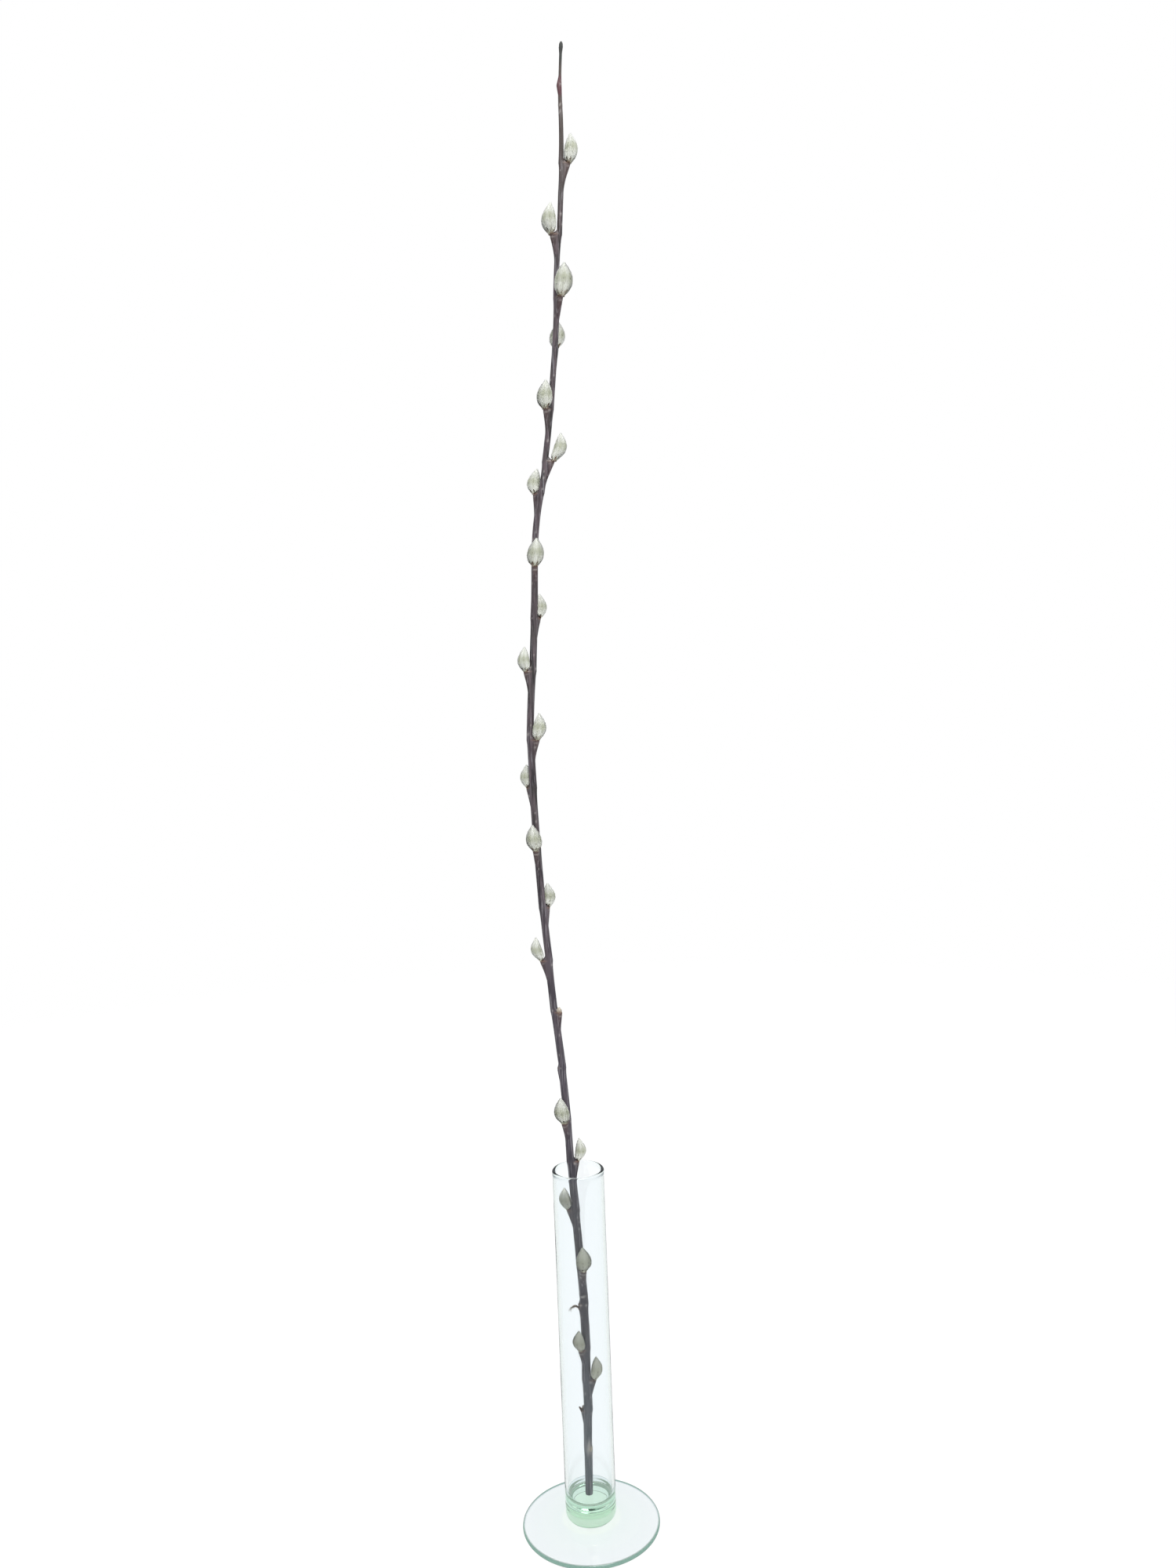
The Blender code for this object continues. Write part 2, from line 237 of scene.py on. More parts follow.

# %% [markdown]
# ## Turning numbers into pieces
# Every new piece is a closed surface on a grid of points. One helper puts arrays of points and faces
# into a mesh, hangs values such as "how far along this hair" on its points, and hides the plain solid
# that the piece stands for.


# %% Mesh helpers
def grid_faces(rows, columns):
    """Four-sided faces between rings: each point joins the next in its ring and the ring above."""
    low = np.arange((rows - 1) * columns).reshape(rows - 1, columns)
    after = np.roll(low, -1, axis=1)
    return np.stack([low, after, after + columns, low + columns], -1).reshape(-1, 4)


def round_turns(sides):
    """Evenly spaced angles all the way round."""
    return np.arange(sides) * 2 * np.pi / sides


def tube_faces(rows, columns):
    """A closed tube of rings: its sides, and one flat face at each end, turned to look outwards."""
    last = (rows - 1) * columns
    ends = [np.arange(columns)[None, ::-1], np.arange(last, last + columns)[None]]
    return [grid_faces(rows, columns)] + ends


def new_piece(name, points, faces, finish, slot, stands_for=(), facing=None, **values):
    """A mesh object from points in millimetres and arrays of faces, with named values on its points.

    facing, where it is given, is the way that light takes each point to look: zeros leave it alone.
    """
    mesh = bpy.data.meshes.new(name)
    points = np.asarray(points, float).reshape(-1, 3)
    corners = np.concatenate([face.ravel() for face in faces])
    sizes = np.concatenate([np.full(len(face), face.shape[1]) for face in faces])
    mesh.vertices.add(len(points))
    mesh.vertices.foreach_set("co", (points * MM).ravel())
    mesh.loops.add(len(corners))
    mesh.loops.foreach_set("vertex_index", corners)
    mesh.polygons.add(len(sizes))
    mesh.polygons.foreach_set("loop_start", np.cumsum(sizes) - sizes)
    mesh.update(calc_edges=True)
    mesh.shade_smooth()
    if facing is not None:
        mesh.normals_split_custom_set_from_vertices(facing.tolist())
    for label, value in values.items():
        mesh.attributes.new(label, "FLOAT", "POINT").data.foreach_set("value", np.ravel(value))
    mesh.materials.append(finish)
    piece = placed(name, mesh)
    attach(piece, "root")
    if stands_for:
        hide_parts(*stands_for)


# %% [markdown]
# ## Node helpers
# A material is a small network. A helper that adds a node, sets its fields and links its inputs in
# one line keeps each network readable.


# %% Node helpers
def feed(tree, node, inputs):
    """Each input gets a value, or a link from an output. A colour is given without its alpha."""
    for label, value in dict(inputs).items():
        socket = node.inputs[label]
        if isinstance(value, bpy.types.NodeSocket):
            tree.links.new(value, socket)
        else:
            socket.default_value = (*value, 1.0) if socket.type == "RGBA" else value


def add_node(tree, kind, inputs=(), **fields):
    """A node of this kind with its fields set and its inputs fed."""
    node = tree.nodes.new(kind)
    for field, value in fields.items():
        setattr(node, field, value)
    feed(tree, node, inputs)
    return node


def mix_colours(tree, share, below, above, blend="MIX"):
    """The colour below, covered by the colour above as far as share says."""
    inputs = {0: share, 6: below, 7: above}
    return add_node(tree, "ShaderNodeMix", inputs, data_type="RGBA", blend_type=blend).outputs[2]


def ranged(tree, value, low, high, to_low=0.0, to_high=1.0):
    """The value, eased from one range to another."""
    inputs = {0: value, 1: low, 2: high, 3: to_low, 4: to_high}
    return add_node(tree, "ShaderNodeMapRange", inputs, interpolation_type="SMOOTHSTEP").outputs[0]


def maths(tree, operation, first, second=0.0):
    """One sum of two values."""
    return add_node(tree, "ShaderNodeMath", {0: first, 1: second}, operation=operation).outputs[0]


def times_vector(tree, first, second):
    """Two vectors multiplied part by part."""
    return add_node(tree, "ShaderNodeVectorMath", {0: first, 1: second}, operation="MULTIPLY").outputs[0]


def length_of(tree, vector):
    """How long a vector is."""
    return add_node(tree, "ShaderNodeVectorMath", {0: vector}, operation="LENGTH").outputs["Value"]


def bumped(tree, height, strength, distance):
    """A normal that tilts with the height's slopes. The distance is the relief in metres."""
    inputs = {"Height": height, "Strength": strength, "Distance": distance}
    return add_node(tree, "ShaderNodeBump", inputs).outputs[0]


def named_value(tree, label):
    """A value that hangs on the piece's points."""
    return add_node(tree, "ShaderNodeAttribute", attribute_name=label).outputs["Fac"]


def place_in_piece(tree):
    """Object coordinates: metres from the origin, so a pattern keeps its true size."""
    return add_node(tree, "ShaderNodeTexCoord").outputs["Object"]


def new_finish(name, colour):
    """A material with its Principled shader, its tree, and the colour that a plain viewer shows."""
    finish = bpy.data.materials.new(name)
    finish.use_nodes = True
    finish.diffuse_color = (*colour, 1.0)
    shader = finish.node_tree.nodes["Principled BSDF"]
    shader.inputs["Base Color"].default_value = (*colour, 1.0)
    return finish, finish.node_tree, shader


# %% [markdown]
# ## Shared effects
# Bark, dry scales and torn wood all show fine lines that run up the stem, and nearly every surface
# here has soft blotches. Each effect is a node group, built once, with inputs for its size.


# %% Long grain and blotches
def new_group(name, sizes, outputs):
    """An empty node group that takes a place and named sizes, and gives values."""
    group = bpy.data.node_groups.new(name, "ShaderNodeTree")
    add_socket = group.interface.new_socket
    add_socket("Place", in_out="INPUT", socket_type="NodeSocketVector")
    for label, size in sizes.items():
        add_socket(label, in_out="INPUT", socket_type="NodeSocketFloat").default_value = size
    for label in outputs:
        add_socket(label, in_out="OUTPUT", socket_type="NodeSocketFloat")
    return group, group.nodes.new("NodeGroupInput").outputs, group.nodes.new("NodeGroupOutput")


def long_grain_group():
    """Noise on a place that is squeezed along Z, so its spots become lines that run up the stem."""
    group, given, result = new_group("long_grain", {"Lines": 900.0, "Stretch": 0.06}, ("Grain", "Fine"))
    squeeze = add_node(group, "ShaderNodeCombineXYZ", {0: 1.0, 1: 1.0, 2: given["Stretch"]}).outputs[0]
    place = times_vector(group, given["Place"], squeeze)
    spots = {"Vector": place, "Scale": given["Lines"], "Detail": 3.0, "Roughness": 0.6}
    broad = add_node(group, "ShaderNodeTexNoise", spots)
    finer = maths(group, "MULTIPLY", given["Lines"], 2.7)
    fine = add_node(group, "ShaderNodeTexNoise", {"Vector": place, "Scale": finer, "Detail": 2.0})
    feed(group, result, {"Grain": broad.outputs[0], "Fine": fine.outputs[0]})
    return group


def blotch_group():
    """Soft noise stretched to the full range from 0 to 1."""
    group, given, result = new_group("blotches", {"Size": 60.0}, ("Blotch",))
    spots = {"Vector": given["Place"], "Scale": given["Size"], "Detail": 2.0}
    noise = add_node(group, "ShaderNodeTexNoise", spots)
    feed(group, result, {"Blotch": ranged(group, noise.outputs[0], 0.35, 0.65)})
    return group


LONG_GRAIN, BLOTCHES = long_grain_group(), blotch_group()


def grain(tree, place, lines, stretch):
    """The long grain's two outputs, broad and fine."""
    inputs = {"Place": place, "Lines": lines, "Stretch": stretch}
    return add_node(tree, "ShaderNodeGroup", inputs, node_tree=LONG_GRAIN).outputs


def blotches(tree, place, size):
    """The blotches' output."""
    inputs = {"Place": place, "Size": size}
    return add_node(tree, "ShaderNodeGroup", inputs, node_tree=BLOTCHES).outputs[0]


print("node groups:", [group.name for group in bpy.data.node_groups])

# %% [markdown]
# ## Glass
# The vase is clear glass with a trace of iron in it. A thin wall looks almost colourless, and the
# thick base looks green, because light loses its red and blue on the way through. So the colour comes
# from absorption inside. The surface adds a trace of blue, and on the edge of the foot a deep teal for
# the long way that light takes there. A faint ripple, as drawn tube has, bends the highlights, and a
# little dust dulls it in places.


# %% Glass finish
GLASS_IOR = 1.48
TUBE_TINT, FOOT_TINT, RIM_TINT = (0.965, 0.973, 1.0), (0.91, 0.925, 0.99), (0.10, 0.25, 0.19)
TUBE_TO_FOOT, FOOT_TO_RIM = (0.0135, 0.0155), (0.0327, 0.0337)
INSIDE_COLOUR, INSIDE_DENSITY = (0.32, 0.82, 0.44), 27.0
DUST_SIZE, DUST_ROUGHNESS, RIPPLES, RIPPLE_DEPTH = 45.0, 0.035, (60.0, 0.35), 0.0004


def glass_finish():
    """Clear glass, tinted by its radius, with absorption in its body, a slight ripple and a dull film."""
    finish, tree, shader = new_finish("vase_glass", (0.97, 0.98, 1.0))
    place = place_in_piece(tree)
    radius = length_of(tree, times_vector(tree, place, (1.0, 1.0, 0.0)))
    tint = mix_colours(tree, ranged(tree, radius, *TUBE_TO_FOOT), TUBE_TINT, FOOT_TINT)
    tint = mix_colours(tree, ranged(tree, radius, *FOOT_TO_RIM), tint, RIM_TINT)
    film = blotches(tree, place, DUST_SIZE)
    ripple, _ = grain(tree, place, *RIPPLES)
    feed(tree, shader, {
        "Transmission Weight": 1.0, "IOR": GLASS_IOR, "Metallic": 0.0, "Base Color": tint,
        "Roughness": ranged(tree, film, 0.5, 1.0, 0.0, DUST_ROUGHNESS),
        "Normal": bumped(tree, ripple, 0.25, RIPPLE_DEPTH),
    })
    absorbed = {"Color": INSIDE_COLOUR, "Density": INSIDE_DENSITY}
    inside = add_node(tree, "ShaderNodeVolumeAbsorption", absorbed)
    feed(tree, tree.nodes["Material Output"], {"Volume": inside.outputs[0]})
    return finish


GLASS = glass_finish()

# %% [markdown]
# ## The vase's shape
# A glassblower's foot is a shallow disc with a rounded edge, and the tube is melted onto it over a
# solid base. Its lip is fire-polished to a soft bead. The outline is drawn once, as a list of radius
# and height, and turned round the axis. The inside is part of the same outline, so the wall is real.

# %% Vase outline
VASE_HEIGHT, TUBE_RADIUS, WALL, LIP_SWELL = 181.0, 12.5, 1.4, 0.15
INNER_FLOOR, INNER_CORNER = 16.0, 3.0
BASE_CORNER, BASE_LIFT = 2.7, 0.25
FOOT_RADIUS, FOOT_EDGE, FOOT_RISE, FOOT_DISH = 34.0, 2.5, 2.4, 1.15
BAND_DEPTH, BANDS = 0.07, 3
VASE_SIDES = 144


def profile(radius, height):
    """Points of the outline from radii and heights. A single number holds for all the points."""
    return np.stack(np.broadcast_arrays(radius, height), -1)


def arc(centre_r, centre_z, radius, start, end, points):
    """Points of a circle's arc in the plane of radius and height, angles in degrees from outward to up."""
    turns = np.radians(np.linspace(start, end, points))
    return profile(centre_r + radius * np.cos(turns), centre_z + radius * np.sin(turns))


def vase_outline():
    """Half outline: out along the underside, up the outside, over the lip, down to the inner floor."""
    half_edge, neck = FOOT_EDGE / 2, TUBE_RADIUS - BASE_CORNER
    outer, foot_top = FOOT_RADIUS - half_edge, FOOT_EDGE + FOOT_RISE
    under = profile(np.linspace(1.0, outer, 9)[:-1], 0.0)
    share = np.linspace(0, 1, 22)[1:]
    dome = profile(outer + (neck - outer) * share, FOOT_EDGE + FOOT_RISE * share**FOOT_DISH)
    base = arc(neck, foot_top + BASE_LIFT + BASE_CORNER, BASE_CORNER, -80, 0, 12)
    lip, inside = WALL / 2 + LIP_SWELL, TUBE_RADIUS - WALL
    waves = BAND_DEPTH * np.sin(np.linspace(0, BANDS * 2 * np.pi, 24))
    bands = profile(TUBE_RADIUS + waves, np.linspace(base[-1, 1] + 0.4, INNER_FLOOR + 1.5, 24))
    outside = profile(TUBE_RADIUS, np.linspace(INNER_FLOOR + 4, VASE_HEIGHT - 3.0, 14))
    rim = arc(TUBE_RADIUS - WALL / 2, VASE_HEIGHT - lip, lip, -20, 200, 17)
    inner = profile(inside, np.linspace(VASE_HEIGHT - 3.0, INNER_FLOOR + INNER_CORNER + 2, 14))
    corner = arc(inside - INNER_CORNER, INNER_FLOOR + INNER_CORNER, INNER_CORNER, 0, -90, 12)
    floor = profile(np.linspace(inside - INNER_CORNER, 1.0, 5)[1:], INNER_FLOOR)
    return np.concatenate([under, arc(outer, half_edge, half_edge, -90, 90, 16), dome, base,
                           bands, outside, rim, inner, corner, floor])


# %% Turn the vase
def turned(outline, sides):
    """A surface of turning: each point of the outline becomes a ring at its own radius and height."""
    turns = round_turns(sides)
    radius, height = outline[:, 0, None], outline[:, 1, None]
    return np.stack([radius * np.cos(turns), radius * np.sin(turns), height + 0 * turns], -1)


outline = vase_outline()
vase_faces = tube_faces(len(outline), VASE_SIDES)
new_piece("vase_body", turned(outline, VASE_SIDES), vase_faces, GLASS, "vase_glass", ("vase",))

# %% [markdown]
# ## Bark
# Young willow bark is thin, smooth and a little waxy: dark purple-brown with grey and olive patches,
# fine lines along it, redder on the pegs, with pale pores and a pale ring where an old bud scale sat.
# The form carries shallow furrows, pores and scars, and the finish adds what is too fine for it. Tables
# hold the tints that change with height: bluish and dark low down, olive at the tip, with a red bud. In
# the tube the dark is painted shade, and the bluish-grey near the foot is a painted reflection.


# %% Bark finish
BARK_DARK, BARK_LIGHT, THIN_LINE = (0.020, 0.015, 0.018), (0.130, 0.098, 0.108), (0.260, 0.240, 0.260)
STREAKS, HAIRLINES, SMALL_PATCHES, WIDE_PATCHES = (900.0, 0.055), (1700.0, 0.02), 130.0, 28.0
OLIVE_PATCH, VIOLET_PATCH = (0.052, 0.050, 0.043), (0.105, 0.077, 0.091)
# Each tint below: the heights in metres between which it changes, its shares at both, its colour.
LOW_TINTS_WITH_PAINTED_TUBE_SHADE_AND_REFLECTION = (
    (0.20, 0.36, 0.45, 0.0, (0.085, 0.079, 0.108)),
    # Painted shade: the bark darkened inside the tube, from just above its rim down.
    (0.17, 0.22, 0.60, 0.0, (0.020, 0.018, 0.026)),
    # Painted reflection: the bark lighter and bluish-grey low in the tube.
    (0.03, 0.12, 0.65, 0.0, (0.135, 0.160, 0.176)),
)
OLIVE = (0.60, 0.70, 0.0, 0.7, (0.115, 0.092, 0.072))
BUD_STARTS, BUD_ENDS, BUD_SHARE, BUD_RED = (0.6815, 0.6845), (0.6895, 0.6930), 0.8, (0.120, 0.040, 0.052)
DARK_TIP = (0.694, 0.699, 0.0, 0.75, (0.050, 0.058, 0.055))
MARK_TINTS = (
    ("peg", 0.55, (0.100, 0.058, 0.053)),
    ("ledge", 0.8, (0.230, 0.140, 0.100)),
    ("pale", 1.0, (0.520, 0.480, 0.450)),
)


def covered(tree, colour, amount, share, tint):
    """The colour, covered by the tint as far as the amount times the share says."""
    return mix_colours(tree, maths(tree, "MULTIPLY", amount, share), colour, tint)


def height_tint(tree, colour, height, start, end, share_low, share_high, tint):
    """The colour, covered by the tint with a share that changes between two heights."""
    return mix_colours(tree, ranged(tree, height, start, end, share_low, share_high), colour, tint)


def bark_finish():
    """Streaked purple-brown, tinted by height (with painted shade and a painted reflection in the tube) and
    by the named values peg, ledge and pale.
    """
    finish, tree, shader = new_finish("willow_bark", (0.105, 0.078, 0.070))
    place = place_in_piece(tree)
    broad, fine = grain(tree, place, *STREAKS)
    patch, wide = blotches(tree, place, SMALL_PATCHES), blotches(tree, place, WIDE_PATCHES)
    colour = mix_colours(tree, ranged(tree, broad, 0.41, 0.60), BARK_DARK, BARK_LIGHT)
    colour = covered(tree, colour, patch, 0.45, OLIVE_PATCH)
    colour = covered(tree, colour, wide, 0.4, VIOLET_PATCH)
    height = add_node(tree, "ShaderNodeSeparateXYZ", {0: place}).outputs[2]
    # Two of these tints are painted: shade inside the tube, and a reflection low in it.
    for tint in LOW_TINTS_WITH_PAINTED_TUBE_SHADE_AND_REFLECTION:
        colour = height_tint(tree, colour, height, *tint)
    hairline, _ = grain(tree, place, *HAIRLINES)
    colour = mix_colours(tree, ranged(tree, hairline, 0.54, 0.66, 0.0, 0.75), colour, THIN_LINE)
    colour = height_tint(tree, colour, height, *OLIVE)
    bud = ranged(tree, height, *BUD_STARTS)
    colour = covered(tree, colour, bud, ranged(tree, height, *BUD_ENDS, BUD_SHARE, 0.0), BUD_RED)
    colour = height_tint(tree, colour, height, *DARK_TIP)
    for label, share, tint in MARK_TINTS:
        colour = covered(tree, colour, named_value(tree, label), share, tint)
    lines = maths(tree, "ADD", broad, maths(tree, "MULTIPLY", fine, 0.5))
    feed(tree, shader, {
        "Base Color": colour, "Roughness": ranged(tree, fine, 0.3, 0.7, 0.30, 0.50),
        "Specular IOR Level": 0.38, "Normal": bumped(tree, lines, 0.5, 0.00012),
    })
    return finish


BARK = bark_finish()

# %% Marks on the bark
RING_SPACING, BARK_SIDES = 0.65, 52
LEDGE_RINGS = (-0.5, -0.35, -0.2, -0.05, 0.1, 0.25, 0.45, 0.7, 1.0)
PORES, PORE_SEED = 170, 11
RING_MARKS = ((118.6, 0.45, 0.9), (679.0, 0.5, 0.6))
TORN, TORN_SEAT, TORN_FORWARD = (40.6, math.radians(38), 7.0), 25, 0.35


def bark_heights():
    """Where the rings of bark lie: evenly spaced, with more of them on each ledge."""
    even = np.arange(STEM_FOOT, STEM_TIP, RING_SPACING)
    ledges = np.array([seat + step for seat, _ in SEATS for step in LEDGE_RINGS])
    tip = np.array([703.4, 704.6, 705.1, 705.5, STEM_TIP])
    heights = np.unique(np.concatenate([even, ledges, tip]).round(3))
    return heights[np.concatenate([[True], np.diff(heights) > 0.02])]


def near_turn(azimuth, facing):
    """The angle between two azimuths, from minus a half turn to a half turn."""
    return (azimuth - facing + np.pi) % (2 * np.pi) - np.pi


def bell(value, width):
    """A bell curve: 1 at no distance, falling smoothly to almost nothing at twice the width."""
    return np.exp(-((value / width) ** 2))


def pores(height, azimuth, radius):
    """Small oval bells strewn over the bark by a seeded draw. They stand for its breathing pores."""
    draw = np.random.default_rng(PORE_SEED)
    found = np.zeros(np.broadcast_shapes(height.shape, azimuth.shape))
    for at, facing, size in zip(draw.uniform(22, 690, PORES), draw.uniform(0, 2 * np.pi, PORES),
                                draw.uniform(0.22, 0.5, PORES)):
        across = near_turn(azimuth, facing) * radius
        found = np.maximum(found, bell(height - at, size * 1.3) * bell(across, size))
    return found


def bark_marks(height, azimuth, radius):
    """The named values: peg, ledge and pale, each from 0 to 1, and the relief in millimetres.

    The furrows are cosine waves round the stem whose crests wander with the height. A scar is a
    bell across a line that curves up at both ends, under each ledge.
    """
    core = steps(height, STEM_THICKNESS) / 2
    peg = np.clip((radius - core) / 2.2, 0, 1)
    ledge, scar = 0 * radius, 0 * radius
    for (seat, _), (facing, _, _) in zip(SEATS, LOBES):
        turn = near_turn(azimuth, facing)
        front = bell(turn, 0.75)
        ledge = np.maximum(ledge, bell(height - seat - 0.05, 0.42) * front)
        line = seat - 1.7 + 2.2 * turn**2
        scar = np.maximum(scar, bell(height - line, 0.3) * bell(turn, 0.55))
    wander = 1.6 * np.sin(height / 31.0) + 0.7 * np.sin(height / 11.3 + 1.0)
    furrow = 0.030 * np.cos(6 * azimuth + wander)
    furrow = furrow + 0.024 * np.cos(9 * azimuth - 1.7 * wander + height / 17.0)
    furrow = furrow + 0.03 * np.sin(height / 2.9 + 2 * np.cos(azimuth + height / 40)) * bell(peg - 0.5, 0.5)
    ring, band = 0 * radius, 0 * radius
    for at, wide, strength in RING_MARKS:
        here = bell(height - at - 0.25 * np.sin(azimuth * 2), wide)
        ring = np.maximum(ring, here * strength * (0.55 + 0.45 * np.cos(3 * azimuth + 0.6)))
        band = np.maximum(band, here)
    spots = pores(height, azimuth, radius)
    at, wide, tall = TORN
    beside = near_turn(azimuth, LOBES[TORN_SEAT][0] - TORN_FORWARD)
    torn = bell(height - at - 0.8 * np.sin(5 * azimuth), tall / 2) * bell(beside, wide)
    pale = np.clip(np.maximum.reduce([0.55 * spots, ring, 0.45 * scar, 0.9 * torn]), 0, 1)
    relief = furrow + 0.07 * spots + 0.10 * scar + 0.10 * band - 0.12 * torn
    return peg, ledge, pale, relief


# %% Wrap the bark round the stem
def wrapped_bark():
    """Rings round the bent middle line: each point lies out from it by the bark's radius plus relief."""
    height = bark_heights()[:, None]
    azimuth = round_turns(BARK_SIDES)[None]
    radius = bark_radius(height, azimuth)
    peg, ledge, pale, relief = bark_marks(height, azimuth, radius)
    ends = np.clip((height - STEM_FOOT) / 1.5, 0, 1) * np.clip((STEM_TIP - height) / 3.0, 0, 1)
    middle = stem_centre(height[:, 0])[:, None, :]
    level = middle + outward(azimuth) * (radius + relief * ends)[..., None]
    points = np.concatenate([level, np.broadcast_to(height[..., None], (*radius.shape, 1))], -1)
    return points, dict(peg=peg, ledge=ledge, pale=pale)


points, marks = wrapped_bark()
rows = len(points)
new_piece("stem_bark", points, tube_faces(rows, BARK_SIDES), BARK, "willow_bark", ("stem",), **marks)

# %% [markdown]
# ## Dry scales and stubs
# Where a catkin has dropped, a stub, a curled bud scale or torn bark stays behind, and each catkin
# keeps a collar of small dry scales. All of them are thin blades: an outline gives the width along a
# bent line, and a flat oval gives the thickness. One finish serves them, from pale tan to almost
# black, by a value called age.


# %% Dry scale finish
PALE_TAN, BROWN, NEAR_BLACK = (0.62, 0.56, 0.46), (0.21, 0.13, 0.085), (0.028, 0.024, 0.022)
DRY_GRAIN, STREAK_BROWN = (1500.0, 0.15), (0.20, 0.13, 0.09)


def scale_finish():
    """Tan to dark brown by age, with long grain, and duller than bark."""
    finish, tree, shader = new_finish("dry_scale", (0.30, 0.22, 0.15))
    place = place_in_piece(tree)
    broad, fine = grain(tree, place, *DRY_GRAIN)
    age = named_value(tree, "age")
    colour = mix_colours(tree, ranged(tree, age, 0.0, 0.5), PALE_TAN, BROWN)
    colour = mix_colours(tree, ranged(tree, age, 0.45, 1.0), colour, NEAR_BLACK)
    streak = maths(tree, "MULTIPLY", ranged(tree, broad, 0.42, 0.66), 0.5)
    colour = mix_colours(tree, streak, colour, STREAK_BROWN, "MULTIPLY")
    feed(tree, shader, {
        "Base Color": colour, "Roughness": ranged(tree, fine, 0.3, 0.7, 0.5, 0.75),
        "Normal": bumped(tree, broad, 0.4, 0.0001),
    })
    return finish


DRY = scale_finish()

# %% Blades and spikes in numbers
HAIR_SIDES = 3
BLADE_OUTLINE = ((0, 0.62), (0.2, 0.9), (0.45, 1.0), (0.7, 0.82), (0.88, 0.5), (1, 0.12))


def many_faces(count, rings, sides, pointed=False):
    """Faces for many small tubes at once: sides, a base, and a tip that is a face or a single point."""
    each = rings * sides + pointed
    first = np.arange(count)[:, None, None] * each
    found = [(first + grid_faces(rings, sides)[None]).reshape(-1, 4)]
    found.append((first[:, 0] + np.arange(sides)[None, ::-1]).reshape(-1, sides))
    top = (rings - 1) * sides + np.arange(sides)
    if pointed:
        fan = np.stack([top, np.roll(top, -1), np.full(sides, rings * sides)], -1)
        found.append((first + fan[None]).reshape(-1, 3))
    else:
        found.append((first[:, 0] + top[None]).reshape(-1, sides))
    return found


def blade_points(line, across, out, width, thickness, cup, sides):
    """Rings of points along bent lines: a flat oval, with its two edges raised by cup times the width.

    line, across and out have the shape (blades, stations, 3). width has the shape (blades, stations).
    """
    turns = round_turns(sides)
    side = np.cos(turns)
    lift = thickness / 2 * np.sin(turns) * np.sqrt(np.clip(width[..., None] / width.max(), 0.15, 1))
    lift = lift + cup * width[..., None] * (side**2 - 1)
    return (line[:, :, None] + across[:, :, None] * (width[..., None] * side)[..., None]
            + out[:, :, None] * lift[..., None])


def unit(vectors):
    """The same directions, one long."""
    return vectors / np.maximum(np.linalg.norm(vectors, axis=-1, keepdims=True), 1e-9)


def spikes(root, bend, tip, out, wide, thick):
    """Closed three-sided hairs: a ring of points at the root, a smaller one at the bend, and a tip."""
    rise = unit(tip - root)
    across = unit(np.cross(rise, out))
    normal = np.cross(across, rise)
    corner = (round_turns(HAIR_SIDES) + np.pi / 2)[None, :, None]
    ring = across[:, None] * np.cos(corner) * wide - normal[:, None] * np.sin(corner) * thick
    points = np.concatenate([root[:, None] + ring, bend[:, None] + ring * 0.8, tip[:, None]], 1)
    return points, many_faces(len(root), 2, HAIR_SIDES, pointed=True)


# %% Bent scales on bare seats
STUBS = ((15, 1.35, 2.3), (24, 0.9, 2.0))
SCALES = (
    (24, 1.2, 1.2, 3.0, 1.0, 2.2),
    (21, 0.6, 2.6, 5.6, 2.7, 2.2),
    (25, 0.3, 1.2, 3.0, 0.5, 2.2),
)
SCALE_AGES = {24: (0.55, 0.45), 21: (0.75, 0.2), 25: (0.12, 0.05)}
SCALE_STATIONS, SCALE_SIDES = 22, 16
WISP_AGE = 0.04


def upright(level, height):
    """Points from level places and heights."""
    heights = np.broadcast_to(np.asarray(height)[..., None], (*level.shape[:-1], 1))
    return np.concatenate([level, heights], -1)


def seat_frame(number):
    """The stem's middle at a seat, the level direction out through the seat, and the one across it."""
    out = outward(seat_azimuth(number))
    return stem_centre(SEATS[number][0] + SEAT_DROP), out, np.array([-out[1], out[0]])


def bent_line(number, root, drop, length, curl, share):
    """Places at shares of an arc of curl radians that leaves the bark upwards, and the angles there."""
    middle, out, _ = seat_frame(number)
    seat, bend, radius = SEATS[number][0], curl * share, length / curl
    away = steps(seat, STEM_THICKNESS) / 2 + root + radius * (1 - np.cos(bend))
    return upright(middle + out * away[:, None], seat - drop + radius * np.sin(bend)), bend


def bent_scale(number, root, drop, length, curl, width):
    """A blade along a bent line, a little frayed, with an age that changes evenly from root to tip."""
    _, out, across = seat_frame(number)
    share = np.linspace(0, 1, SCALE_STATIONS)
    line, bend = bent_line(number, root, drop, length, curl, share)
    normal = np.stack([-out[0] * np.cos(bend), -out[1] * np.cos(bend), np.sin(bend)], -1)
    sideways = np.broadcast_to([*across, 0.0], line.shape)
    frayed = 1 + 0.12 * np.sin(share * 19) * share
    wide = width / 2 * flow(share, BLADE_OUTLINE) * frayed
    ring = blade_points(line[None], sideways[None], normal[None], wide[None], 0.5, 0.3, SCALE_SIDES)
    young, old = SCALE_AGES[number]
    age = np.repeat(young + (old - young) * share, SCALE_SIDES)
    return ring, many_faces(1, SCALE_STATIONS, SCALE_SIDES), age


